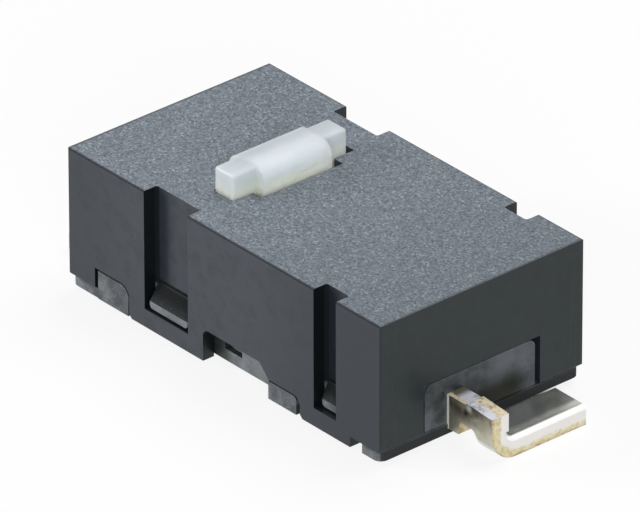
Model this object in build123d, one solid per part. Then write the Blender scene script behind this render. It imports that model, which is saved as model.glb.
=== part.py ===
"""Low-profile surface-mount micro switch with a snap-action blade.

Millimetres, +Z up. The origin is the centre of the footprint on the seating plane, where the solder
feet rest. +X runs along the case towards the terminal of the normally open contact, and +Y across it.
"""
import os

from build123d import *

# ---- case ------------------------------------------------------------------------------------
case_length = 12.0
case_width = 6.72
body_height = 3.92  # underside of the base to the roof of the case
standoff = 0.20  # seating plane to the underside of the base
case_lift = 0.30  # underside of the base to the lower edge of the case
side_wall = 0.75
end_wall = 0.60
roof = 0.50
skirt = 0.36  # thinner lower part of the side wall, which laps the rim of the base
lap_height = 1.25  # underside of the base to the top of the lap
edge_round = 0.05
corner_round = 0.03
lower_round = 0.06
cavity_round = 0.15

# Features along the long sides are placed from the left-hand end of the case.
tab_slot_start = 1.02
tab_slot_end = 2.36
tab_slot_top = 0.87
tab_slot_round = 0.32
left_loop_end = 5.24
recess_top = 0.93
recess_round = 0.20
recess_flat_end = 7.42
recess_ramp_end = 7.75
low_slot_top = 0.57
low_slot_end = 8.96
low_slot_round = 0.26
right_loop_end = 10.87
loop_lead = 0.10
window_sill = 0.52  # underside of the base to the lower edge of the snap windows
left_groove_start = 2.97
left_groove_width = 1.69
right_groove_start = 9.49
right_groove_width = 0.85
groove_depth = 0.44
groove_round = 0.08

# ---- base ------------------------------------------------------------------------------------
plinth_inset = 0.04
plinth_round = 0.24
seam = 0.02  # play between the case and the base
floor_height = 0.58
rim_height = 1.22
rim_thickness = 0.36
keel_bevel = 0.08  # lower edges of the base beneath the snap loops
foot_start = 11.28  # where the right-hand corner feet of the base begin
high_tab_start = 1.12
high_tab_round = 0.30
low_tab_start = 7.73
low_tab_end = 8.80
low_tab_round = 0.12
tab_setback = 0.02
tab_gap = 0.06  # between a tab and the edge of its slot
left_lug_reach = 0.30
right_lug_reach = 0.20
lug_height = 0.62
lug_face = 0.20
lug_side_gap = 0.11
lug_gap = 0.05
lug_round = 0.12
block_half_width = 1.82
block_height = 1.62
block_depth = 0.85
block_setback = 0.07
block_round = 0.22
notch_gap = 0.11
notch_headroom = 0.07
gate_start = 5.65
gate_length = 0.66
gate_bottom = 0.40
gate_depth = 0.16

# ---- terminals ---------------------------------------------------------------------------------
plate = 0.55
web_face = 1.09  # centre plane to the outer face of the upright web
web_bottom = 0.16
terminal_reach = 1.62
relief_start = 0.36
relief_top = 0.52
relief_lean = 0.04
relief_round = 0.15
bend_start = 0.97
foot_bend = 0.25  # inside radius of the bend above the foot
step_start = 0.62
step_lean = 0.05
step_height = 0.05
front_drop = 0.02  # deck down to the front end of the upper edge of the web
foot_back = 0.46
foot_start_across = -0.25
foot_end = 2.03
foot_edge_round = 0.15
fold_inside = 0.12  # inside radius of the bends within the case
deck_width = 2.20
open_deck_start = 2.20
deck_gap = 0.40  # inner face of the end wall to the end of the deck
fulcrum_place = 0.15
fulcrum_height = 0.76
fulcrum_width = 0.90
seat_post_start = -0.45
notch_depth = 0.10
notch_drop = 0.18

# ---- contacts and blade ----------------------------------------------------------------------------
contact_place = 3.20
contact_radius = 0.50
contact_head = 0.27
contact_shank = 0.24
contact_dome = 0.09
contact_tail = 0.10
contact_tail_radius = 0.36
fixed_head = 0.30
contact_travel = 0.36
closed_gap = 0.02
rivet_play = 0.01
blade_thickness = 0.08
blade_width = 2.60
leg_width = 0.45
blade_bridge_start = 2.35
blade_tip = 3.95
blade_tip_width = 1.50
blade_back_bridge = 0.80  # length of the staked end of the blade
blade_slot_round = 0.15
tongue_width = 0.80
tongue_bow = 0.40
tip_gap = 0.02
stake_radius = 0.15
stake_head = 0.08
stake_head_radius = 0.24
stake_spread = 0.80
stake_centre = 0.33
stop_gap = 0.02
stop_length = 1.10
stop_width = 1.90

# ---- plunger ----------------------------------------------------------------------------------------
plunger_place = -1.55
plunger_rise = 0.70
head_half_width = 0.35
head_half_length = 1.88
middle_half_width = 0.68
middle_half_length = 1.12
plunger_shift = -0.10  # the loose button rests towards one end of its slot
head_round = 0.08
head_corner_round = 0.05
middle_round = 0.36
slot_play_x = 0.04
slot_play_end = 0.12
slot_play_middle = 0.22
flange_thickness = 0.35
flange_lap_x = 0.30
flange_lap_y = 0.36
flange_gap = 0.02
nose_half_width = 0.25
nose_half_length = 1.30
nose_gap = 0.04  # free play before the button presses the blade
nose_round = 0.20

# ---- worked out from the sizes above ------------------------------------------------------------------
half_length = case_length / 2
half_width = case_width / 2
roof_top = standoff + body_height
ceiling = roof_top - roof
floor_top = standoff + floor_height
rim_outer = half_width - skirt - seam
inner_end = half_length - end_wall
deck_end = inner_end - deck_gap
deck_top = floor_top + plate
fixed_contact_top = deck_top + fixed_head
moving_contact_low = fixed_contact_top + contact_travel + closed_gap
blade_seat = moving_contact_low + contact_head
blade_top = blade_seat + blade_thickness
fold_outside = fold_inside + plate
loop_inner = half_width - skirt
web_outer = half_length + terminal_reach
web_back = half_length + bend_start
neck_start = half_length + relief_start + relief_lean
neck_low = standoff + relief_top
fulcrum_top = deck_top + fulcrum_height
beyond = case_width  # margin by which a cutting solid passes the surface it cuts
near = 1e-3  # how close an edge lies to the place that it is picked by


def box_between(x0, x1, y0, y1, z0, z1):
    """Box from its two opposite corners."""
    corner = Pos(x0, y0, z0)
    return corner * Box(x1 - x0, y1 - y0, z1 - z0, align=(Align.MIN, Align.MIN, Align.MIN))


def side_profile(points, y0, y1):
    """Solid between two planes across the part, from an outline of (x, z) points."""
    face = make_face(Polyline(*[(x, y0, z) for x, z in points], close=True))
    return extrude(face, amount=y1 - y0, dir=(0, 1, 0))


def end_profile(points, x0, x1):
    """Solid between two planes along the part, from an outline of (y, z) points."""
    face = make_face(Polyline(*[(x0, y, z) for y, z in points], close=True))
    return extrude(face, amount=x1 - x0, dir=(1, 0, 0))


def both_sides(solid):
    """The solid and its mirror image across the centre plane."""
    return solid + mirror(solid, about=Plane.XZ)


def along(distance):
    """Place along the part of a distance from the left-hand end of the case."""
    return distance - half_length


def across_edges(solid, x, z):
    """Edges of the solid that run across the part through the point (x, z)."""
    edges = solid.edges().filter_by(Axis.Y)
    return edges.filter_by(lambda e: abs(e.center().X - x) < near and abs(e.center().Z - z) < near)


def upright_edges(solid, x, y):
    """Upright edges of the solid at the place (x, y)."""
    edges = solid.edges().filter_by(Axis.Z)
    return edges.filter_by(lambda e: abs(e.center().X - x) < near and abs(e.center().Y - y) < near)


def side_point(distance, height):
    """(x, z) of a point of the side view, from the left-hand end and the underside of the base."""
    return (along(distance), standoff + height)


def make_skirt():
    """Lower part of one side wall: snap loops, tab slot, recess and low slot in its lower edge."""
    outline = [
        side_point(0, lap_height),
        side_point(0, case_lift),
        side_point(tab_slot_start, case_lift),
        side_point(tab_slot_start, tab_slot_top),
        side_point(tab_slot_end, tab_slot_top),
        side_point(tab_slot_end, loop_lead),
        side_point(tab_slot_end + loop_lead, 0),
        side_point(left_loop_end, 0),
        side_point(left_loop_end, recess_top),
        side_point(recess_flat_end, recess_top),
        side_point(recess_ramp_end, low_slot_top),
        side_point(low_slot_end, low_slot_top),
        side_point(low_slot_end, loop_lead),
        side_point(low_slot_end + loop_lead, 0),
        side_point(right_loop_end, 0),
        side_point(right_loop_end, case_lift),
        side_point(case_length, case_lift),
        side_point(case_length, lap_height),
    ]
    skirt_wall = side_profile(outline, loop_inner, half_width)
    rounds = [
        (tab_slot_end, tab_slot_top, tab_slot_round),
        (left_loop_end, recess_top, recess_round),
        (low_slot_end, low_slot_top, low_slot_round),
    ]
    for distance, height, radius in rounds:
        skirt_wall = fillet(across_edges(skirt_wall, *side_point(distance, height)), radius)
    return skirt_wall


def make_groove(start, width):
    """Cutting solid for one groove, from the window sill up through the roof."""
    inner = half_width - groove_depth
    groove = box_between(
        along(start),
        along(start + width),
        inner,
        half_width + beyond,
        standoff + window_sill,
        roof_top + beyond,
    )
    corners = upright_edges(groove, along(start), inner) + upright_edges(groove, along(start + width), inner)
    return fillet(corners, groove_round)


def make_head_outline(play_x, play_end, play_middle, z0, z1):
    """Stepped bar of the push button, or with play added, the slot that it runs in."""
    ends = box_between(
        plunger_place - head_half_width - play_x,
        plunger_place + head_half_width + play_x,
        -head_half_length - play_end,
        head_half_length + play_end,
        z0,
        z1,
    )
    middle = box_between(
        plunger_place - middle_half_width - play_x,
        plunger_place + middle_half_width + play_x,
        -middle_half_length - play_middle,
        middle_half_length + play_middle,
        z0,
        z1,
    )
    return ends, middle


def make_case():
    """Moulded cover, open below."""
    lap_top = standoff + lap_height
    shell = box_between(-half_length, half_length, -half_width, half_width, lap_top, roof_top)
    shell += both_sides(make_skirt())
    for side in (-1, 1):
        x0, x1 = sorted((side * inner_end, side * half_length))
        shell += box_between(x0, x1, -loop_inner, loop_inner, standoff + case_lift, lap_top)
    wall_inner = half_width - side_wall
    cavity = box_between(-inner_end, inner_end, -wall_inner, wall_inner, 0, ceiling)
    shell -= fillet(cavity.faces().sort_by(Axis.Z)[-1].edges(), cavity_round)
    for end in (-half_length, half_length):
        shell = fillet(across_edges(shell, end, standoff + case_lift), lower_round)
    shell &= extrude(RectangleRounded(case_length, case_width, corner_round), amount=roof_top)
    crown = box_between(-half_length, half_length, -half_width, half_width, 0, roof_top)
    shell &= fillet(crown.faces().sort_by(Axis.Z)[-1].edges().filter_by(Axis.X), edge_round)
    shell -= both_sides(make_groove(left_groove_start, left_groove_width))
    shell -= both_sides(make_groove(right_groove_start, right_groove_width))
    slot_low = ceiling - seam
    for slot in make_head_outline(slot_play_x, slot_play_end, slot_play_middle, slot_low, roof_top + beyond):
        shell -= slot
    notch_half = block_half_width + notch_gap
    notch_top = standoff + block_height + notch_headroom
    for side in (-1, 1):
        x0, x1 = sorted((side * (inner_end - seam), side * (half_length + beyond)))
        shell -= box_between(x0, x1, -notch_half, notch_half, 0, notch_top)
    stop_low = blade_top + contact_tail + stop_gap
    shell += box_between(
        contact_place - stop_length / 2,
        contact_place + stop_length / 2,
        -stop_width / 2,
        stop_width / 2,
        stop_low,
        ceiling,
    )
    return shell


def make_tab(start, end, top, radius):
    """Tab of the base that fills a slot of the case, with rounded top corners."""
    tab = box_between(
        along(start),
        along(end),
        rim_outer - rim_thickness,
        half_width - tab_setback,
        standoff,
        standoff + top,
    )
    return fillet(across_edges(tab, along(end), standoff + top), radius)


def make_lug(groove_start, groove_width, reach):
    """Snap lug of the base: a ramp above, a square ledge below that the loop of the case catches."""
    low = standoff + window_sill + lug_gap
    outline = [
        (rim_outer, low),
        (rim_outer + reach, low),
        (rim_outer + reach, low + lug_face),
        (rim_outer, low + lug_height),
    ]
    x0 = along(groove_start + lug_side_gap)
    x1 = along(groove_start + groove_width - lug_side_gap)
    lug = end_profile(outline, x0, x1)
    corners = across_edges(lug, x0, low) + across_edges(lug, x1, low)
    return fillet(corners, lug_round)


def make_block(side):
    """Block at one end of the base, which fills the notch of the case and holds a terminal."""
    outer = half_length - block_setback
    x0, x1 = sorted((side * (outer - block_depth), side * outer))
    block = box_between(x0, x1, -block_half_width, block_half_width, standoff, standoff + block_height)
    top = block.faces().sort_by(Axis.Z)[-1]
    return fillet(top.edges().filter_by(Axis.X), block_round)


def make_base(terminals):
    """Moulded base: plinth, floor, rim, end blocks, tabs and snap lugs, moulded around the terminals."""
    plinth = RectangleRounded(case_length - 2 * plinth_inset, case_width - 2 * plinth_inset, plinth_round)
    base = Pos(0, 0, standoff) * extrude(plinth, amount=case_lift - seam)
    rim_end = inner_end - seam
    base += box_between(-rim_end, rim_end, -rim_outer, rim_outer, standoff, standoff + rim_height)
    setback = [
        (rim_outer - keel_bevel, 0),
        (rim_outer - keel_bevel, standoff),
        (rim_outer, standoff + keel_bevel),
        (rim_outer, roof_top),
        (beyond, roof_top),
        (beyond, 0),
    ]
    high_tab_end = tab_slot_end - tab_gap
    for start, end in ((high_tab_end, low_tab_start), (low_tab_end, foot_start)):
        base -= both_sides(end_profile(setback, along(start), along(end)))
    block_inner = half_length - block_setback - block_depth
    rim_inner = rim_outer - rim_thickness
    base -= box_between(-block_inner, block_inner, -rim_inner, rim_inner, floor_top, roof_top)
    base += make_block(-1)
    base += make_block(1)
    base += both_sides(make_tab(high_tab_start, high_tab_end, tab_slot_top - tab_gap, high_tab_round))
    base += both_sides(make_tab(low_tab_start, low_tab_end, low_slot_top - tab_gap, low_tab_round))
    base += both_sides(make_lug(left_groove_start, left_groove_width, left_lug_reach))
    base += both_sides(make_lug(right_groove_start, right_groove_width, right_lug_reach))
    gate = box_between(
        along(gate_start),
        along(gate_start + gate_length),
        rim_outer - gate_depth,
        rim_outer,
        standoff + gate_bottom,
        standoff + rim_height,
    )
    base -= both_sides(gate)
    for terminal in terminals:
        base -= terminal
    return base


def bend_edges(strip, outside, inside, inner_radius):
    """The bent strip with its outer and inner bend radii, at the (y, z) places of the two corners."""
    for place, radius in ((outside, inner_radius + plate), (inside, inner_radius)):
        edges = strip.edges().filter_by(Axis.X)
        y, z = place
        edges = edges.filter_by(lambda e: abs(e.center().Y - y) < near and abs(e.center().Z - z) < near)
        strip = fillet(edges, radius)
    return strip


def make_foot_strip():
    """Web and solder foot outside the case: one strip bent under, its rear edge cut back above the foot."""
    web_inner = -web_face + plate
    strip = end_profile(
        [
            (-web_face, roof_top),
            (-web_face, 0),
            (foot_end, 0),
            (foot_end, plate),
            (web_inner, plate),
            (web_inner, roof_top),
        ],
        neck_start,
        web_outer,
    )
    strip = bend_edges(strip, (-web_face, 0), (web_inner, plate), foot_bend)
    outline = side_profile(
        [
            (neck_start, neck_low),
            (web_back, neck_low),
            (web_back, 0),
            (web_outer, 0),
            (web_outer, deck_top - front_drop),
            (half_length + step_start + step_lean, deck_top + step_height),
            (half_length + step_start, deck_top),
            (neck_start, deck_top),
        ],
        -web_face,
        foot_end,
    )
    strip &= fillet(across_edges(outline, web_back, neck_low), relief_round)
    bend_top = Plane.XY.offset(foot_bend + plate)
    pad = box_between(half_length + foot_back, web_back, foot_start_across, foot_end, 0, plate)
    foot = split(strip, bend_top, keep=Keep.BOTTOM) + pad
    foot = fillet(across_edges(foot, web_outer, plate), foot_edge_round)
    return split(strip, bend_top) + foot


def make_plate(deck_start):
    """Stamped plate bent twice: an upright web, a foot turned under outside, a deck turned over inside."""
    web_inner = -web_face + plate
    web_low = standoff + web_bottom
    root = side_profile(
        [
            (deck_end, web_low),
            (half_length + relief_start, web_low),
            (neck_start, neck_low),
            (neck_start, deck_top),
            (deck_end, deck_top),
        ],
        -web_face,
        web_inner,
    )
    deck = end_profile(
        [
            (-web_face, web_low),
            (-web_face, deck_top),
            (deck_width - web_face, deck_top),
            (deck_width - web_face, floor_top),
            (web_inner, floor_top),
            (web_inner, web_low),
        ],
        deck_start,
        deck_end,
    )
    deck = bend_edges(deck, (-web_face, deck_top), (web_inner, floor_top), fold_inside)
    return deck + root + make_foot_strip()


def make_open_terminal():
    """Terminal of the normally open contact, at the right-hand end, with the hole for the contact rivet."""
    hole = Cylinder(contact_shank + rivet_play, beyond)
    return make_plate(open_deck_start) - Pos(contact_place, 0, floor_top) * hole


def fold_post(terminal, face, inward, y0, y1, top):
    """The terminal with a post folded up from its deck; inward is the way from its outer face to the deck."""
    x0, x1 = sorted((face, face + inward * fold_outside))
    terminal -= box_between(x0, x1, y0, y1, floor_top, deck_top)
    inner_face = face + inward * plate
    run_end = face + inward * 2 * fold_outside
    post = side_profile(
        [
            (face, floor_top),
            (face, top),
            (inner_face, top),
            (inner_face, deck_top),
            (run_end, deck_top),
            (run_end, floor_top),
        ],
        y0,
        y1,
    )
    post = fillet(across_edges(post, face, floor_top), fold_outside)
    post = fillet(across_edges(post, inner_face, deck_top), fold_inside)
    return terminal + post


def make_common_terminal():
    """Terminal at the left-hand end, turned half round, with the two folded posts that carry the blade."""
    terminal = make_plate(fulcrum_place)
    terminal = fold_post(terminal, fulcrum_place, 1, -fulcrum_width / 2, fulcrum_width / 2, fulcrum_top)
    terminal = fold_post(terminal, deck_end, -1, seat_post_start, deck_width - web_face, blade_seat)
    notch_z = fulcrum_top - notch_drop
    terminal -= side_profile(
        [
            (fulcrum_place, notch_z + notch_depth),
            (fulcrum_place + notch_depth, notch_z),
            (fulcrum_place, notch_z - notch_depth),
        ],
        -fulcrum_width / 2,
        fulcrum_width / 2,
    )
    stake = Cylinder(stake_radius, blade_thickness, align=(Align.CENTER, Align.CENTER, Align.MIN))
    head = Cylinder(stake_head_radius, stake_head, align=(Align.CENTER, Align.CENTER, Align.MIN))
    for across in (stake_centre - stake_spread / 2, stake_centre + stake_spread / 2):
        place = Pos(deck_end - plate / 2, across, blade_seat)
        terminal += place * (stake + Pos(0, 0, blade_thickness) * head)
    return Rot(0, 0, 180) * terminal


def make_blade():
    """Snap blade, one stamping: a frame with two legs, and a bowed tongue cut out of its middle."""
    blade_back = -deck_end
    taper_start = contact_place
    outline = Polyline(
        (blade_back, -blade_width / 2),
        (taper_start, -blade_width / 2),
        (blade_tip, -blade_tip_width / 2),
        (blade_tip, blade_tip_width / 2),
        (taper_start, blade_width / 2),
        (blade_back, blade_width / 2),
        close=True,
    )
    sheet = Pos(0, 0, blade_seat) * extrude(make_face(outline), amount=blade_thickness)
    slot_start = blade_back + blade_back_bridge
    slot = Pos((slot_start + blade_bridge_start) / 2, 0, 0) * RectangleRounded(
        blade_bridge_start - slot_start, blade_width - 2 * leg_width, blade_slot_round
    )
    sheet -= extrude(slot, amount=beyond)
    sheet -= Pos(contact_place, 0, blade_seat) * Cylinder(contact_shank + rivet_play, beyond)
    for across in (stake_centre - stake_spread / 2, stake_centre + stake_spread / 2):
        stake_hole = Cylinder(stake_radius + rivet_play, beyond)
        sheet -= Pos(plate / 2 - deck_end, -across, blade_seat) * stake_hole
    root = (blade_bridge_start + blade_thickness, blade_seat + blade_thickness / 2)
    tip = (-fulcrum_place + tip_gap, fulcrum_top - notch_drop)
    crown = ((root[0] + tip[0]) / 2, (root[1] + tip[1]) / 2 + tongue_bow)
    strip = trace(ThreePointArc(root, crown, tip), blade_thickness)
    tongue = extrude(Plane.XZ * strip, amount=tongue_width / 2, both=True)
    return sheet + tongue


def make_rivet(head_height, shank_length):
    """Contact rivet standing on its seat: domed head above, shank below."""
    crown = (0, head_height)
    shoulder = (contact_radius, head_height - contact_dome)
    section = make_face(
        [
            Line((0, 0), (contact_radius, 0)),
            Line((contact_radius, 0), shoulder),
            TangentArc(crown, shoulder, tangent=(1, 0)),
            Line(crown, (0, 0)),
        ]
    )
    head = revolve(Plane.XZ * section, axis=Axis.Z)
    shank = Cylinder(contact_shank, shank_length, align=(Align.CENTER, Align.CENTER, Align.MAX))
    return head + shank


def make_moving_contact():
    """Contact rivet of the blade, head down, with its tail upset over the blade."""
    tail = Cylinder(contact_tail_radius, contact_tail, align=(Align.CENTER, Align.CENTER, Align.MAX))
    rivet = make_rivet(contact_head, blade_thickness) + Pos(0, 0, -blade_thickness) * tail
    return Pos(contact_place, 0, blade_seat) * Rot(180, 0, 0) * rivet


def make_plunger():
    """Push button: stepped head above the roof, flange that keeps it in, nose that presses the blade legs."""
    flange_top = ceiling - flange_gap
    flange_low = flange_top - flange_thickness
    top = roof_top + plunger_rise
    ends, middle = make_head_outline(0, 0, 0, flange_low, top)
    ends = fillet(ends.edges().filter_by(Axis.Z), head_corner_round)
    ends = fillet(ends.faces().sort_by(Axis.Z)[-1].edges(), head_round)
    middle = fillet(middle.faces().sort_by(Axis.Z)[-1].edges().filter_by(Axis.Y), middle_round)
    flange_half_x = middle_half_width + flange_lap_x
    flange_half_y = head_half_length + flange_lap_y
    flange = box_between(
        plunger_place - flange_half_x,
        plunger_place + flange_half_x,
        -flange_half_y,
        flange_half_y,
        flange_low,
        flange_top,
    )
    nose_low = blade_top + nose_gap
    nose = box_between(
        plunger_place - nose_half_width,
        plunger_place + nose_half_width,
        -nose_half_length,
        nose_half_length,
        nose_low,
        flange_low,
    )
    nose = fillet(nose.faces().sort_by(Axis.Z)[0].edges().filter_by(Axis.Y), nose_round)
    return Pos(0, plunger_shift, 0) * (ends + middle + flange + nose)


open_terminal = make_open_terminal()
common_terminal = make_common_terminal()
nodes = {
    "case": make_case(),
    "base": make_base([open_terminal, common_terminal]),
    "open_terminal": open_terminal,
    "common_terminal": common_terminal,
    "fixed_contact": Pos(contact_place, 0, deck_top) * make_rivet(fixed_head, plate),
    "moving_contact": make_moving_contact(),
    "snap_blade": make_blade(),
    "plunger": make_plunger(),
}

os.makedirs("parts", exist_ok=True)
for name, solid in nodes.items():
    solid.label = name
    export_step(solid, f"parts/{name}.step")
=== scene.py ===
"""Looks of a low-profile surface-mount micro switch.

The case and base are moulded in dark resin, the button is milky, and the terminals are plated strip.
Metres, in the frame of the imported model: z = 0 is the plane that the solder feet rest on, and +X runs along
the case towards the terminal of the normally open contact.
"""
import math

import bmesh
import bpy
from mathutils import Matrix, Vector


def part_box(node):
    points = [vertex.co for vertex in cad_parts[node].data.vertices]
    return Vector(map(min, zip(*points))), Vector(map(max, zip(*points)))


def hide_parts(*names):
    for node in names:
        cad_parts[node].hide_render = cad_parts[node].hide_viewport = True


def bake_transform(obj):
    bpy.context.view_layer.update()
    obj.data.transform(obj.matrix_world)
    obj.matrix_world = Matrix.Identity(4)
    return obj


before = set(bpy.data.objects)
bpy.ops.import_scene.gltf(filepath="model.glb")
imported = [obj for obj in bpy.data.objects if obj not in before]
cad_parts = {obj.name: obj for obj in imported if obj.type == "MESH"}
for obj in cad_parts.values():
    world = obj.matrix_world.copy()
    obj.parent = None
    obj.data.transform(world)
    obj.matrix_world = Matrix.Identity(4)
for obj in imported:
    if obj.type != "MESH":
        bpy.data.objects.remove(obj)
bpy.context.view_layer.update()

MM = 0.001

# ---- camera ----------------------------------------------------------------------------------------
VIEW_AZIMUTH = 49.30
VIEW_ELEVATION = 29.75
VIEW_ROLL = -0.10
VIEW_DISTANCE = 326.8 * MM
LENS = 732.1
SENSOR_WIDTH = 36
CLIP_RANGE = (0.01, 10)
CENTRE_BELOW_ROOF = 1.807 * MM
AIM_RIGHT = -0.106 * MM
AIM_UP = -0.011 * MM

# ---- light -----------------------------------------------------------------------------------------
SKY = 0.12
LAMP_DISTANCE = 0.45
LAMPS = (  # name, way to the lamp, size, power, whether it shows in glossy surfaces
    ("side_light", (-0.64, -0.69, 0.34), 0.14, 1.0, True),
    ("front_light", (0.75, -0.55, 0.35), 0.24, 1.2, True),
    ("top_light", (0.0, 0.40, 0.92), 0.30, 1.00, False),
    ("top_shine", (0.0, 0.40, 0.92), 0.40, 0.42, True),
)

# ---- floor -----------------------------------------------------------------------------------------
FLOOR_REACH = 1.5
FLOOR_COLOUR = 0.95  # where a shadow shows
FLOOR_BOUNCE = 0.35  # for the light that it throws on the part
FLOOR_SHADOW = 0.14  # strength of the shadow in the open
GAP_SHADE = (5.40 * MM, 5.95 * MM)  # full shadow between the plinth and the back of a foot, along the case
GAP_SPAN = (0.4 * MM, 2.0 * MM)  # the same, across the case
GAP_SOFT = 0.1 * MM
GAP_FADE = 0.8 * MM

# ---- case and base ---------------------------------------------------------------------------------
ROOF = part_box("case")[1].z
HALF_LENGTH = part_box("case")[1].x
HALF_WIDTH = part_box("case")[1].y
EDGE_BAND = (0.09 * MM, 0.04 * MM)  # darker band along the edges of the roof: where it starts and is full
GROOVE_BACK = 2.92 * MM
GROOVE_WALLS = (2.4 * MM, 2.6 * MM)  # the slot of the button lies inside, the side grooves outside
RIM_INNER = 2.40 * MM
RIM_OUTER = 2.98 * MM
LUG_FOOT = 0.75 * MM
LUG_TOP = 1.39 * MM
LUG_SHADE = (0.95 * MM, 1.25 * MM)  # heights between which the ramp of a lug is painted darker still as shade
LEFT_LUG = (-3.2 * MM, -1.3 * MM)  # along the case
PALE_STRETCH = (0.9 * MM, 1.5 * MM)  # along the case
# where the base is painted dark as a soft shadow in the recess by the loop, along the case
SHADOWED_STRETCH = (-1.0 * MM, -0.4 * MM)
STRETCH_SOFT = 0.4 * MM
BLOCK_FACE = 5.93 * MM
PLINTH_CORNER = 5.0 * MM
PLINTH_TOP = 0.44 * MM

# ---- terminals -------------------------------------------------------------------------------------
PLATE = 0.55 * MM
WEB_FACE = 1.09 * MM
WEB_FRONT = 7.62 * MM
FOOT_BEND = 0.80 * MM  # outside radius of the bend above the foot
BEND_CENTRE = FOOT_BEND - WEB_FACE  # across the case
EDGE_STEP = 6.64 * MM  # where the torn band of the upper edge changes sides
# a dent in the web's outer face, drawn as a spot of painted shade at NICK and a painted highlight at NICK_LIP
NICK = (6.62 * MM, 1.08 * MM)  # along the case and above the feet
NICK_RADIUS = 0.17 * MM
NICK_LIP = (6.75 * MM, 1.27 * MM)
NICK_LIP_RADIUS = 0.16 * MM

# ---- button ----------------------------------------------------------------------------------------
BUTTON_X = -1.55 * MM
BUTTON_Y = -0.10 * MM
BUTTON_STEP = 1.12 * MM  # half length of its thick middle

# ---- depth of the relief ---------------------------------------------------------------------------
ROOF_GRAIN = 0.014 * MM
SIDE_GRAIN = 0.0006 * MM
DRAW_LINES = 0.004 * MM
BASE_PITTING = 0.006 * MM
BLOCK_PITTING = 0.002 * MM
BUTTON_FLOW = 0.010 * MM
BUTTON_WAVES = 0.014 * MM
FOOT_CROWN = 0.03 * MM
PLATE_RIPPLE = 0.0015 * MM
TORN_METAL = 0.010 * MM
ROLLING_LINES = 0.002 * MM
RIVET_GRAIN = 0.003 * MM

# ---- blade -----------------------------------------------------------------------------------------
BLADE_ROOT = 2.35 * MM
BLADE_TONGUE_HALF = 0.60 * MM
BLADE_SLICE = 0.25 * MM
WELD_DISTANCE = 0.0001 * MM

# ---- colours ---------------------------------------------------------------------------------------
CASE_TONES = {
    "grain_and_sheen_low": (0.048, 0.066, 0.084),
    "grain_and_sheen_high": (0.274, 0.308, 0.348),
    "painted_sparkle": (0.50, 0.54, 0.60),
    "roof_right": (0.020, 0.026, 0.034),
    "roof_band": (0.030, 0.032, 0.036),
    "roof_edge_painted_shade": (0.006, 0.008, 0.012),
    "side_left_painted_shade": (0.028, 0.034, 0.045),
    "side_middle_painted_light": (0.040, 0.046, 0.060),
    "side_right_painted_shade": (0.017, 0.022, 0.033),
    "side_mottle": (0.018, 0.027, 0.029),
    "end_low_painted_shade": (0.002, 0.009, 0.011),
    "end_high_painted_shade": (0.016, 0.024, 0.026),
    "slot_wall": (0.034, 0.039, 0.046),
    "groove_wall_painted_shade": (0.004, 0.006, 0.007),
    "ledge": (0.010, 0.012, 0.014),
    "painted_corner_shade": (0.000, 0.001, 0.003),
}
BASE_TONES = {
    "cloud_low": (0.040, 0.048, 0.056),
    "cloud_high": (0.215, 0.230, 0.245),
    "mottle": (0.060, 0.068, 0.078),
    "speck": (0.28, 0.29, 0.31),
    "lug": (0.30, 0.31, 0.33),
    "pale_stretch": (0.30, 0.32, 0.34),
    "stretch_painted_shadow": (0.004, 0.010, 0.009),
    "block_low": (0.018, 0.026, 0.032),
    "block_high": (0.098, 0.110, 0.130),
    "block_streak": (0.115, 0.125, 0.135),
    "painted_web_shade": (0.004, 0.006, 0.006),
    "plinth_corner_painted_light": (0.24, 0.26, 0.28),
    "shaded_plinth_end": (0.004, 0.006, 0.006),
    "ramp_painted_shade": (0.006, 0.009, 0.010),
    "ramp_high": (0.040, 0.047, 0.052),
    "ramp_top_painted_shade": (0.001, 0.002, 0.003),
    "rim": (0.006, 0.009, 0.010),
}
BUTTON_TONES = {
    "top": (0.65, 0.71, 0.76),
    "foot": (0.92, 0.95, 0.80),
    "cloud": (0.56, 0.62, 0.64),
    "far_half_painted_shade": (0.36, 0.40, 0.44),
    "head_end_painted_shade": (0.34, 0.39, 0.42),
    "painted_crest_highlight": (0.93, 0.96, 0.99),
    "flow": (0.60, 0.67, 0.68),
}
PLATE_TONES = {
    "plated_low": (0.60, 0.61, 0.57),
    "plated_high": (0.72, 0.72, 0.67),
    "web_low": (0.46, 0.44, 0.34),
    "web_high": (0.62, 0.60, 0.50),
    "upper_web_darkening": (0.17, 0.155, 0.11),
    "nick_painted_shade": (0.025, 0.025, 0.022),
    "glint": (0.95, 0.95, 0.93),
    "rolled": (0.97, 0.97, 0.96),
    "root": (0.95, 0.94, 0.86),
    "burnished_low": (0.74, 0.72, 0.69),
    "burnished_high": (0.86, 0.84, 0.81),
    "top_low": (0.44, 0.44, 0.48),
    "top_high": (0.90, 0.90, 0.97),
    "top_shaded": (0.22, 0.21, 0.15),
    "brass_low": (0.56, 0.48, 0.29),
    "brass_high": (0.72, 0.65, 0.44),
    "brass_pit": (0.42, 0.32, 0.18),
    "cream_low": (0.62, 0.50, 0.34),
    "cream_high": (0.95, 0.86, 0.66),
}
COPPER_TONES = {
    "line_low": (0.72, 0.42, 0.26),
    "line_high": (0.88, 0.58, 0.38),
    "patch": (0.60, 0.36, 0.24),
}
SILVER_TONES = {
    "bright": (0.88, 0.87, 0.84),
    "tarnish": (0.66, 0.62, 0.55),
}


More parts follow.
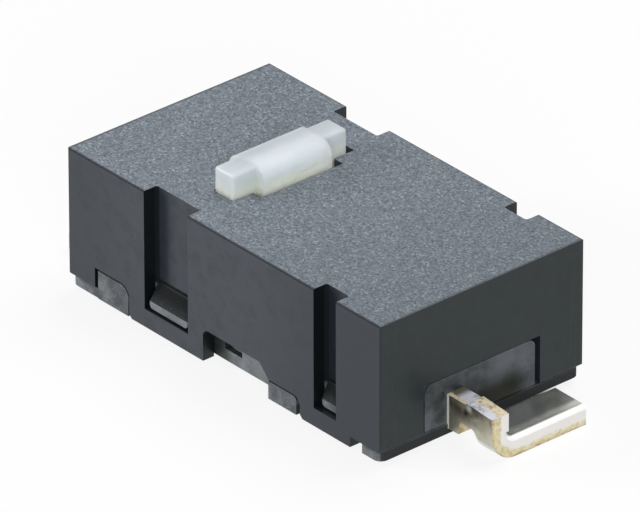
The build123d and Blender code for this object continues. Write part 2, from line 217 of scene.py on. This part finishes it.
class Graph:
    """Node graph, built by calls that each give back a socket.

    far and wide are distances from the middle of the part, along it and across it. endways and sideways
    are how squarely the surface faces along it and across it, from 0 to 1.
    """

    def __init__(self, tree):
        self.tree = tree
        place = self.node("ShaderNodeTexCoord")
        self.place = place.outputs["Object"]
        self.x, self.y, self.z = self.split(self.place)
        self.nx, self.ny, self.nz = self.split(place.outputs["Normal"])
        self.far = self.math("ABSOLUTE", self.x)
        self.wide = self.math("ABSOLUTE", self.y)
        self.endways = self.math("ABSOLUTE", self.nx)
        self.sideways = self.math("ABSOLUTE", self.ny)

    def node(self, kind, inputs=None, **settings):
        node = self.tree.nodes.new(kind)
        for key, value in settings.items():
            setattr(node, key, value)
        for key, value in (inputs or {}).items():
            self.plug(node.inputs[key], value)
        return node

    def plug(self, socket, value):
        if isinstance(value, bpy.types.NodeSocket):
            self.tree.links.new(value, socket)
        else:
            socket.default_value = value

    def split(self, vector):
        return self.node("ShaderNodeSeparateXYZ", {0: vector}).outputs

    def math(self, operation, *values):
        return self.node("ShaderNodeMath", dict(enumerate(values)), operation=operation).outputs[0]

    def larger(self, first, second):
        return self.math("MAXIMUM", first, second)

    def product(self, *values):
        total = values[0]
        for value in values[1:]:
            total = self.math("MULTIPLY", total, value)
        return total

    def half_turned(self):
        """Place across the case, turned half round at the left-hand end, as the terminals are."""
        return self.product(self.y, self.math("SIGN", self.x))

    def length(self, across, up):
        return self.math("SQRT", self.math("ADD", self.product(across, across), self.product(up, up)))

    def spot(self, across, up, centre, radius):
        """1 within a soft round spot of the plane of two coordinates."""
        away = self.length(self.math("SUBTRACT", across, centre[0]), self.math("SUBTRACT", up, centre[1]))
        return self.below(away, 0.0, radius)

    def ramp(self, value, low, high, start=0.0, end=1.0):
        """Smooth change from start to end as the value goes from low to high."""
        node = self.node(
            "ShaderNodeMapRange",
            {"Value": value, "From Min": low, "From Max": high, "To Min": start, "To Max": end},
            interpolation_type="SMOOTHSTEP",
        )
        return node.outputs["Result"]

    def below(self, value, low, high):
        """1 up to low, falling to 0 at high."""
        return self.ramp(value, low, high, 1.0, 0.0)

    def between(self, value, low, high, soft):
        """1 where the value lies between low and high, with soft ends."""
        return self.product(self.ramp(value, low - soft, low), self.below(value, high, high + soft))

    def facing(self, component):
        """1 where the surface faces along an axis, given that component of its normal."""
        return self.ramp(component, 0.6, 0.8)

    def noise(self, scale, detail=2.0, roughness=0.5, stretch=None):
        vector = self.place
        if stretch:
            vector = self.node("ShaderNodeMapping", {"Vector": self.place, "Scale": stretch}).outputs[0]
        inputs = {"Vector": vector, "Scale": scale / MM, "Detail": detail, "Roughness": roughness}
        return self.node("ShaderNodeTexNoise", inputs).outputs["Fac"]

    def cells(self, scale):
        """A random value for each cell of a loose packing, scale cells to the millimetre."""
        packing = self.node("ShaderNodeTexVoronoi", {"Vector": self.place, "Scale": scale / MM}, feature="F1")
        return self.split(packing.outputs["Color"])[0]

    def mix(self, factor, first, second):
        colours = {0: factor, 6: as_colour(first), 7: as_colour(second)}
        return self.node("ShaderNodeMix", colours, data_type="RGBA").outputs[2]

    def coat(self, colour, *coats):
        """The colour under coats, each one an amount and the colour that it turns to."""
        for amount, tone in coats:
            colour = self.mix(amount, colour, tone)
        return colour

    def blend(self, factor, first, second):
        return self.node("ShaderNodeMix", {0: factor, 2: first, 3: second}, data_type="FLOAT").outputs[0]

    def bump(self, height, depth, normal=None):
        inputs = {"Height": height, "Distance": depth, "Strength": 1.0}
        if normal is not None:
            inputs["Normal"] = normal
        return self.node("ShaderNodeBump", inputs).outputs[0]

    def seen_directly(self):
        """1 for camera, glossy and transmission rays, and 0 for the rays that carry diffuse light."""
        path = self.node("ShaderNodeLightPath").outputs
        mirrored = self.larger(path["Is Glossy Ray"], path["Is Transmission Ray"])
        return self.larger(path["Is Camera Ray"], mirrored)

    def finish(self, **sockets):
        for key, value in sockets.items():
            self.plug(self.tree.nodes["Principled BSDF"].inputs[key.replace("_", " ")], value)


def as_colour(value):
    return (*value, 1.0) if isinstance(value, tuple) else value


def grey(value):
    return (value, value, value, 1)


def new_material(name):
    material = bpy.data.materials.new(name)
    material.use_nodes = True
    return material, Graph(material.node_tree)


def make_case_plastic():
    """Glass-filled black resin: coarse spark-eroded grain on the roof, smooth drawn sides."""
    material, g = new_material("case_plastic")
    tones = CASE_TONES
    mottle = g.noise(scale=2.5, detail=3, roughness=0.6)

    on_roof = g.product(g.facing(g.nz), g.ramp(g.z, ROOF - 0.10 * MM, ROOF - 0.04 * MM))
    cell = g.cells(21)
    grain = g.blend(0.5, g.ramp(g.noise(scale=14, detail=3, roughness=0.7), 0.30, 0.70), cell)
    # bright flecks of painted sparkle, standing in for light glinting off facets of the grain
    painted_sparkle = g.ramp(cell, 0.92, 0.96)
    near_side = g.ramp(g.wide, *(HALF_WIDTH - inwards for inwards in EDGE_BAND))
    near_end = g.ramp(g.far, *(HALF_LENGTH - inwards for inwards in EDGE_BAND))
    # the roof's real grain is painted much lighter than the sides, partly as painted sheen of the top light
    roof = g.coat(
        g.mix(grain, tones["grain_and_sheen_low"], tones["grain_and_sheen_high"]),
        (g.product(painted_sparkle, 0.35), tones["painted_sparkle"]),
        (g.ramp(g.x, -1.0 * MM, 6.0 * MM, 0.0, 0.17), tones["roof_right"]),
        (g.product(g.larger(near_side, near_end), 0.6), tones["roof_band"]),
    )

    inside = g.below(g.far, HALF_LENGTH - 0.3 * MM, HALF_LENGTH - 0.2 * MM)
    # walls facing along the case inside it; those of the side grooves are painted near black as shade
    inner_wall = g.mix(g.ramp(g.wide, *GROOVE_WALLS), tones["slot_wall"], tones["groove_wall_painted_shade"])
    # the end is painted darker than the long sides of the same resin, as painted shade
    end = g.coat(g.mix(mottle, tones["end_low_painted_shade"], tones["end_high_painted_shade"]), (inside, inner_wall))
    # up-facing ledges deep in the grooves, painted dark as shade
    on_ledge = g.product(g.facing(g.nz), g.below(g.z, ROOF - 0.5 * MM, ROOF - 0.4 * MM))
    # painted shade, fully rough, in the inner corners inside the case's outline
    painted_corner_shade = g.product(g.ramp(g.product(g.endways, g.sideways), 0.02, 0.08), inside)
    # the long sides are painted lighter in the middle and darker towards both ends, as painted falloff of the
    # side light
    side = g.coat(
        g.mix(g.ramp(g.x, 0.5 * MM, 5.0 * MM), tones["side_middle_painted_light"], tones["side_right_painted_shade"]),
        (g.below(g.x, -5.5 * MM, -3.0 * MM), tones["side_left_painted_shade"]),
        (g.ramp(mottle, 0.42, 0.72, 0, 0.6), tones["side_mottle"]),
        (g.facing(g.endways), end),
        (on_ledge, tones["ledge"]),
        (painted_corner_shade, tones["painted_corner_shade"]),
    )
    # painted shade along the rounded edges of the roof
    roof_edge_painted_shade = g.product(g.between(g.nz, 0.25, 0.93, 0.05), g.ramp(g.z, ROOF - 0.09 * MM, ROOF - 0.06 * MM))

    draw_lines = g.noise(scale=9, detail=2, roughness=0.5, stretch=(1, 1, 0.04))
    in_groove = g.between(g.wide, GROOVE_BACK - 0.05 * MM, GROOVE_BACK + 0.35 * MM, 0.02 * MM)
    relief = g.bump(g.product(draw_lines, in_groove), DRAW_LINES)
    relief = g.bump(g.noise(scale=20, detail=2, roughness=0.6), SIDE_GRAIN, relief)
    relief = g.bump(g.noise(scale=9, detail=3, roughness=0.6), g.blend(on_roof, 0.0, ROOF_GRAIN), relief)
    rough = g.blend(on_roof, g.ramp(mottle, 0.3, 0.7, 0.30, 0.38), 0.55)
    g.finish(
        Base_Color=g.coat(g.mix(on_roof, side, roof), (g.product(roof_edge_painted_shade, 0.65), tones["roof_edge_painted_shade"])),
        Roughness=g.blend(g.larger(painted_corner_shade, g.product(roof_edge_painted_shade, 0.7)), rough, 1.0),
        Specular_IOR_Level=0.35,
        Normal=relief,
    )
    return material


def make_base_plastic():
    """Resin of the base: greyer and cloudy, with specks of glass fibre, and lug ramps painted dark as shade.
    """
    material, g = new_material("base_plastic")
    tones = BASE_TONES
    cloud = g.ramp(g.noise(scale=1.3, detail=4, roughness=0.65), 0.32, 0.66)
    speck = g.ramp(g.noise(scale=12, detail=2, roughness=0.6), 0.54, 0.70)
    mottle = g.ramp(g.noise(scale=4, detail=3, roughness=0.6), 0.35, 0.65)
    above_lug_foot = g.ramp(g.z, LUG_FOOT, LUG_FOOT + 0.05 * MM)
    lug = g.product(g.between(g.x, *LEFT_LUG, 0.1 * MM), above_lug_foot)
    body = g.coat(
        g.mix(cloud, tones["cloud_low"], tones["cloud_high"]),
        (g.product(mottle, 0.5), tones["mottle"]),
        (g.product(speck, 0.35), tones["speck"]),
        (g.product(lug, 0.35), tones["lug"]),
        (g.product(g.between(g.x, *PALE_STRETCH, STRETCH_SOFT), 0.35), tones["pale_stretch"]),
        # a painted soft shadow on the base in the recess by the loop
        (g.product(g.between(g.x, *SHADOWED_STRETCH, STRETCH_SOFT), 0.9), tones["stretch_painted_shadow"]),
    )

    drift = g.ramp(g.noise(scale=0.9, detail=4, roughness=0.6), 0.34, 0.64)
    streak = g.ramp(g.noise(scale=2.2, detail=4, roughness=0.65, stretch=(1, 1, 1.6)), 0.40, 0.66)
    # painted shade low on the block, behind the foot and beside the web of each terminal
    beside_web = g.between(g.half_turned(), 0.1 * MM, 1.1 * MM, 0.5 * MM)
    painted_web_shade = g.product(beside_web, g.below(g.z, 0.9 * MM, 1.5 * MM))
    block = g.coat(
        g.mix(drift, tones["block_low"], tones["block_high"]),
        (g.product(streak, 0.30), tones["block_streak"]),
        (g.product(painted_web_shade, 0.8), tones["painted_web_shade"]),
    )
    on_block = g.ramp(g.far, BLOCK_FACE - 0.1 * MM, BLOCK_FACE)

    # the corners of the plinth are painted lighter in streaks, as a painted highlight
    highlight_streaks = g.ramp(g.noise(scale=4, detail=3, roughness=0.6), 0.3, 0.6, 0.2, 0.6)
    corner = g.product(
        g.ramp(g.far, PLINTH_CORNER, PLINTH_CORNER + 0.3 * MM),
        g.below(g.z, PLINTH_TOP - 0.08 * MM, PLINTH_TOP),
        g.ramp(g.sideways, 0.3, 0.6),
        highlight_streaks,
    )
    # the end of the plinth under the case is painted dark as shade
    shaded_plinth_end = g.product(g.facing(g.endways), g.below(g.z, PLINTH_TOP, PLINTH_TOP + 0.06 * MM))
    # the lug ramps are painted dark as shade, with specks, and darker still towards their top
    on_ramp = g.product(g.ramp(g.nz, 0.15, 0.35), g.ramp(g.wide, RIM_INNER, RIM_INNER + 0.1 * MM))
    ramp_speck = g.ramp(g.noise(scale=16, detail=2, roughness=0.6), 0.52, 0.72)
    clear_of_block = g.below(g.far, BLOCK_FACE - 0.2 * MM, BLOCK_FACE - 0.1 * MM)
    ramp_top_painted_shade = g.product(on_ramp, g.ramp(g.z, *LUG_SHADE), clear_of_block)
    # the rim along the top of each lug is painted dark as shade, in place of its highlight
    rim = g.product(
        g.between(g.wide, RIM_INNER, RIM_OUTER + 0.02 * MM, 0.02 * MM),
        g.ramp(g.z, LUG_TOP - 0.1 * MM, LUG_TOP),
        g.below(g.far, BLOCK_FACE - 0.5 * MM, BLOCK_FACE - 0.4 * MM),
    )
    body = g.coat(
        body,
        (on_block, block),
        (corner, tones["plinth_corner_painted_light"]),
        (g.product(shaded_plinth_end, 0.9), tones["shaded_plinth_end"]),
        (on_ramp, g.mix(ramp_speck, tones["ramp_painted_shade"], tones["ramp_high"])),
        (g.product(ramp_top_painted_shade, 0.85), tones["ramp_top_painted_shade"]),
        (rim, tones["rim"]),
    )

    rough = g.blend(g.facing(g.endways), g.ramp(cloud, 0, 1, 0.38, 0.50), 0.28)
    rough = g.blend(on_ramp, rough, g.blend(g.larger(g.facing(g.nz), ramp_top_painted_shade), 0.82, 1.0))
    rough = g.blend(shaded_plinth_end, rough, 0.75)
    pitting = g.noise(scale=8, detail=4, roughness=0.65)
    g.finish(
        Base_Color=body,
        Roughness=rough,
        Specular_IOR_Level=0.40,
        Normal=g.bump(pitting, g.blend(on_block, BASE_PITTING, BLOCK_PITTING)),
    )
    return material


def make_button_plastic():
    """Unfilled milky resin, translucent, cooler on top and warmer towards the slot."""
    material, g = new_material("button_plastic")
    tones = BUTTON_TONES
    low = g.below(g.z, ROOF, ROOF + 0.60 * MM)
    cloud = g.ramp(g.noise(scale=1.8, detail=4, roughness=0.6), 0.35, 0.75)
    flow = g.noise(scale=2.2, detail=3, roughness=0.6, stretch=(1.6, 0.35, 2.4))
    along = g.math("ABSOLUTE", g.math("SUBTRACT", g.y, BUTTON_Y))
    # the top of the far half and the head ends are painted darker as shade, the crest of the middle lighter as
    # a painted highlight
    far_half_painted_shade = g.below(g.x, BUTTON_X - 0.40 * MM, BUTTON_X + 0.40 * MM)
    head_end_painted_shade = g.ramp(along, BUTTON_STEP - 0.04 * MM, BUTTON_STEP + 0.06 * MM)
    above_slot = g.ramp(g.z, ROOF, ROOF + 0.3 * MM, 0.3, 1.0)
    painted_crest_highlight = g.between(g.x, BUTTON_X + 0.15 * MM, BUTTON_X + 0.35 * MM, 0.4 * MM)
    middle = g.below(along, BUTTON_STEP - 0.15 * MM, BUTTON_STEP)
    body = g.coat(
        g.mix(low, tones["top"], tones["foot"]),
        (g.product(cloud, 0.3), tones["cloud"]),
        (g.product(g.facing(g.nz), far_half_painted_shade, 0.50), tones["far_half_painted_shade"]),
        (g.product(head_end_painted_shade, above_slot, 0.24), tones["head_end_painted_shade"]),
        (g.product(painted_crest_highlight, middle, g.ramp(g.nz, 0.4, 0.8), 0.30), tones["painted_crest_highlight"]),
        (g.ramp(flow, 0.42, 0.66, 0, 0.35), tones["flow"]),
    )
    waves = g.bump(g.noise(scale=2.5, detail=3, roughness=0.6), BUTTON_WAVES)
    g.finish(
        Base_Color=body,
        Roughness=g.ramp(cloud, 0, 1, 0.38, 0.52),
        Subsurface_Weight=1.0,
        Subsurface_Radius=(1.0, 1.0, 0.9),
        Subsurface_Scale=1.0 * MM,
        Specular_IOR_Level=0.45,
        Normal=g.bump(flow, BUTTON_FLOW, waves),
    )
    return material


def make_terminal_plate():
    """Bright plated strip. Its stamped edges have a burnished silvery band and a torn brassy band."""
    material, g = new_material("terminal_plate")
    tones = PLATE_TONES
    across = g.half_turned()
    smear = g.noise(scale=1.0, detail=3, roughness=0.6, stretch=(2, 2, 1))
    smeared = g.ramp(smear, 0.3, 0.7)
    pit = g.noise(scale=10, detail=3, roughness=0.6)
    low_down = g.below(g.z, 0.60 * MM, 0.70 * MM)

    # depth in the plate from its outer face, as a share of its thickness, followed round the bend
    over = g.larger(g.math("SUBTRACT", BEND_CENTRE, across), 0.0)
    under = g.larger(g.math("SUBTRACT", FOOT_BEND, g.z), 0.0)
    depth = g.math("DIVIDE", g.math("SUBTRACT", FOOT_BEND, g.length(over, under)), PLATE)
    wander = g.ramp(g.noise(scale=2.5, detail=4, roughness=0.6), 0.2, 0.8, -0.12, 0.12)
    ragged = g.math("ADD", depth, wander)

    # the cut edges, and the torn band of each
    on_foot = g.ramp(across, BEND_CENTRE - 0.4 * MM, BEND_CENTRE + 0.3 * MM)
    torn_end = g.below(ragged, g.blend(on_foot, 0.44, 0.16), g.blend(on_foot, 0.60, 0.44))
    behind = g.below(g.far, WEB_FRONT - 0.3 * MM, WEB_FRONT - 0.2 * MM)
    torn_end = g.larger(torn_end, behind)
    past_step = g.ramp(g.far, EDGE_STEP - 0.02 * MM, EDGE_STEP + 0.02 * MM)
    torn_top = g.blend(past_step, g.below(ragged, 0.18, 0.28), g.ramp(ragged, 0.40, 0.52))
    cut_end = g.ramp(g.endways, 0.94, 0.98)
    cut_top = g.product(g.facing(g.nz), g.ramp(g.z, 1.1 * MM, 1.2 * MM))
    torn = g.larger(g.product(cut_end, torn_end), g.product(cut_top, torn_top))
    cut = g.larger(cut_end, cut_top)

    # plated faces
    web_edge = g.below(across, -WEB_FACE + 0.05 * MM, -WEB_FACE + 0.1 * MM)
    outer = g.product(g.facing(g.sideways), web_edge)
    high = g.ramp(g.z, 0.55 * MM, 1.15 * MM)
    # patchy darkening towards the top of the web's outer face
    upper_web_darkening = g.ramp(g.noise(scale=2.2, detail=3, roughness=0.6), 0.38, 0.62, 0.35, 1.0)
    # a dent in the web's outer face, drawn only in colour: a spot of painted shade and a painted highlight
    # above it
    nick_painted_shade = g.product(outer, g.spot(g.far, g.z, NICK, NICK_RADIUS))
    glint = g.product(outer, g.spot(g.far, g.z, NICK_LIP, NICK_LIP_RADIUS))
    # the rounded front edge of the foot, painted near white as a highlight
    rolled = g.product(g.between(g.endways, 0.45, 0.97, 0.4), low_down)
    # a thin strip at the root of the web, painted bright as a highlight
    bright_root = g.between(g.far, BLOCK_FACE, BLOCK_FACE + 0.07 * MM, 0.01 * MM)
    plated = g.coat(
        g.mix(smeared, tones["plated_low"], tones["plated_high"]),
        (outer, g.mix(smeared, tones["web_low"], tones["web_high"])),
        (g.product(outer, high, upper_web_darkening), tones["upper_web_darkening"]),
        (g.product(nick_painted_shade, 0.9), tones["nick_painted_shade"]),
        (glint, tones["glint"]),
        (rolled, tones["rolled"]),
        (bright_root, tones["root"]),
    )

    # cut edges: burnished on the ends, streaky on top, brassy or creamy where torn
    burnished = g.mix(smear, tones["burnished_low"], tones["burnished_high"])
    streaky = g.ramp(g.noise(scale=4, detail=3, roughness=0.6), 0.34, 0.56)
    shaded = g.below(g.far, BLOCK_FACE + 0.1 * MM, BLOCK_FACE + 0.4 * MM)
    top = g.coat(g.mix(streaky, tones["top_low"], tones["top_high"]), (shaded, tones["top_shaded"]))
    brass_pit = g.product(g.below(ragged, 0.02, 0.16), g.ramp(pit, 0.40, 0.55))
    brass = g.coat(
        g.mix(g.ramp(pit, 0.30, 0.60), tones["brass_low"], tones["brass_high"]),
        (brass_pit, tones["brass_pit"]),
    )
    cream = g.mix(g.ramp(pit, 0.34, 0.50), tones["cream_low"], tones["cream_high"])
    colour = g.coat(plated, (cut, g.mix(cut_top, burnished, top)), (torn, g.mix(cut_top, brass, cream)))

    rough = g.blend(cut, g.ramp(smear, 0.3, 0.7, 0.32, 0.37), 0.36)
    rough = g.blend(g.larger(torn, outer), rough, 0.46)
    rough = g.blend(g.larger(cut_top, bright_root), rough, 0.65)
    crown = g.below(g.far, WEB_FRONT - 0.45 * MM, WEB_FRONT - 0.10 * MM)
    relief = g.bump(g.product(crown, g.facing(g.nz), low_down), FOOT_CROWN)
    relief = g.bump(g.noise(scale=1.5, detail=2, roughness=0.4), g.blend(low_down, PLATE_RIPPLE, 0.0), relief)
    relief = g.bump(pit, g.blend(torn, 0.0, TORN_METAL), relief)
    g.finish(Base_Color=colour, Metallic=1.0, Roughness=rough, Normal=relief)
    return material


def make_spring_copper():
    """Cold-rolled copper alloy, with the fine lines of rolling along the strip."""
    material, g = new_material("spring_copper")
    tones = COPPER_TONES
    lines = g.noise(scale=1.0, detail=3, roughness=0.6, stretch=(0.6, 18, 6))
    patch = g.ramp(g.noise(scale=1.2, detail=3, roughness=0.6), 0.45, 0.75, 0, 0.5)
    g.finish(
        Base_Color=g.coat(g.mix(lines, tones["line_low"], tones["line_high"]), (patch, tones["patch"])),
        Metallic=1.0,
        Roughness=g.ramp(lines, 0.3, 0.7, 0.24, 0.36),
        Normal=g.bump(lines, ROLLING_LINES),
    )
    return material


def make_contact_silver():
    """Coined silver rivet, with light tarnish."""
    material, g = new_material("contact_silver")
    tarnish = g.ramp(g.noise(scale=3.0, detail=4, roughness=0.6), 0.42, 0.72)
    g.finish(
        Base_Color=g.mix(tarnish, SILVER_TONES["bright"], SILVER_TONES["tarnish"]),
        Metallic=1.0,
        Roughness=g.ramp(tarnish, 0, 1, 0.22, 0.38),
        Normal=g.bump(g.noise(scale=12, detail=3, roughness=0.6), RIVET_GRAIN),
    )
    return material


def dress(material, *nodes):
    """Put the material on solids of the part, each given by the name of its node."""
    for node in nodes:
        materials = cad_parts[node].data.materials
        materials.clear()
        materials.append(material)


def cut_across(mesh, x):
    """Divide the faces of the mesh along the plane across the part at x."""
    everything = mesh.verts[:] + mesh.edges[:] + mesh.faces[:]
    bmesh.ops.bisect_plane(mesh, geom=everything, plane_co=(x, 0, 0), plane_no=(1, 0, 0))


def make_blade_piece(name, tongue, material):
    """The tongue of the snap blade, or the frame around it, as a piece that can bend."""
    mesh = bmesh.new()
    mesh.from_mesh(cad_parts["snap_blade"].data)
    bmesh.ops.remove_doubles(mesh, verts=mesh.verts, dist=WELD_DISTANCE)
    cut_across(mesh, BLADE_ROOT)

    def on_tongue(face):
        centre = face.calc_center_median()
        return -MM < centre.x < BLADE_ROOT and abs(centre.y) < BLADE_TONGUE_HALF

    unwanted = [face for face in mesh.faces if on_tongue(face) != tongue]
    bmesh.ops.delete(mesh, geom=unwanted, context="FACES")
    rim = [edge for edge in mesh.edges if edge.is_boundary]
    bmesh.ops.holes_fill(mesh, edges=rim)
    low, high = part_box("snap_blade")
    # even cuts, so that the piece can bend between them
    for index in range(1, int((high.x - low.x) / BLADE_SLICE)):
        cut_across(mesh, low.x + index * BLADE_SLICE)
    bmesh.ops.recalc_face_normals(mesh, faces=mesh.faces)
    data = bpy.data.meshes.new(name)
    mesh.to_mesh(data)
    mesh.free()
    data.materials.append(material)
    piece = bpy.data.objects.new(name, data)
    bpy.context.scene.collection.objects.link(piece)
    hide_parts("snap_blade")
    return piece


def add_blade(material):
    """Frame and tongue of the blade, each a piece of its own."""
    ring = make_blade_piece("blade_frame", False, material)
    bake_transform(ring)
    tongue = make_blade_piece("blade_tongue", True, material)
    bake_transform(tongue)


def add_camera():
    """Camera above the right-hand end, turned towards it, with a long lens."""
    azimuth = math.radians(VIEW_AZIMUTH)
    elevation = math.radians(VIEW_ELEVATION)
    back = Vector((
        math.sin(azimuth) * math.cos(elevation),
        -math.cos(azimuth) * math.cos(elevation),
        math.sin(elevation),
    ))
    right = Vector((math.cos(azimuth), math.sin(azimuth), 0))
    up = back.cross(right)
    centre = Vector((0, 0, ROOF - CENTRE_BELOW_ROOF))
    aim = centre + AIM_RIGHT * right + AIM_UP * up
    turn = Matrix((right, up, back)).transposed().to_4x4()
    roll = Matrix.Rotation(math.radians(VIEW_ROLL), 4, "Z")
    camera = bpy.data.objects.new("camera", bpy.data.cameras.new("camera"))
    bpy.context.scene.collection.objects.link(camera)
    camera.matrix_world = Matrix.Translation(aim + VIEW_DISTANCE * back) @ turn @ roll
    camera.data.lens = LENS
    camera.data.sensor_width = SENSOR_WIDTH
    camera.data.clip_start, camera.data.clip_end = CLIP_RANGE
    bpy.context.scene.camera = camera


def add_lamp(name, way, size, power, shines):
    """Round soft box that faces the part from the given way, and shows in glossy surfaces if it shines."""
    lamp = bpy.data.lights.new(name, "AREA")
    lamp.shape = "DISK"
    lamp.size = size
    lamp.energy = power
    holder = bpy.data.objects.new(name, lamp)
    bpy.context.scene.collection.objects.link(holder)
    place = LAMP_DISTANCE * Vector(way).normalized()
    holder.location = place
    holder.rotation_euler = (-place).to_track_quat("-Z", "Y").to_euler()
    holder.visible_glossy = shines


def add_world():
    """Even sky light, which shows as plain white."""
    world = bpy.data.worlds.new("world")
    bpy.context.scene.world = world
    world.use_nodes = True
    g = Graph(world.node_tree)
    sky = world.node_tree.nodes["Background"]
    g.plug(sky.inputs["Color"], (1, 1, 1, 1))
    g.plug(sky.inputs["Strength"], g.blend(g.seen_directly(), SKY, 1.0))


def add_floor():
    """Pale floor that shows as white where nothing shades it, and still takes the shadow of the part."""
    mesh = bpy.data.meshes.new("floor")
    corners = [(-1, -1), (1, -1), (1, 1), (-1, 1)]
    mesh.from_pydata([(x * FLOOR_REACH, y * FLOOR_REACH, 0) for x, y in corners], [], [(0, 1, 2, 3)])
    floor = bpy.data.objects.new("floor", mesh)
    bpy.context.scene.collection.objects.link(floor)
    material, g = new_material("floor")
    glow = g.node("ShaderNodeEmission").outputs[0]
    paper = g.node("ShaderNodeBsdfDiffuse", {"Color": grey(FLOOR_COLOUR)}).outputs[0]
    bounce = g.node("ShaderNodeBsdfDiffuse", {"Color": grey(FLOOR_BOUNCE)}).outputs[0]
    across = g.half_turned()
    start, end = GAP_SPAN
    under = g.product(
        g.between(g.far, *GAP_SHADE, GAP_SOFT),
        g.ramp(across, start - GAP_SOFT, start),
        g.below(across, end, end + GAP_FADE),
    )
    shown = g.node("ShaderNodeMixShader", {0: g.blend(under, FLOOR_SHADOW, 1.0), 1: glow, 2: paper}).outputs[0]
    surface = g.node("ShaderNodeMixShader", {0: g.seen_directly(), 1: bounce, 2: shown}).outputs[0]
    g.plug(material.node_tree.nodes["Material Output"].inputs["Surface"], surface)
    mesh.materials.append(material)


copper = make_spring_copper()
dress(make_case_plastic(), "case")
dress(make_base_plastic(), "base")
dress(make_button_plastic(), "plunger")
dress(make_terminal_plate(), "open_terminal", "common_terminal")
dress(make_contact_silver(), "moving_contact", "fixed_contact")
dress(copper, "snap_blade")
add_blade(copper)
add_camera()
add_world()
add_floor()
for lamp in LAMPS:
    add_lamp(*lamp)

bpy.context.scene.view_settings.view_transform = "Standard"
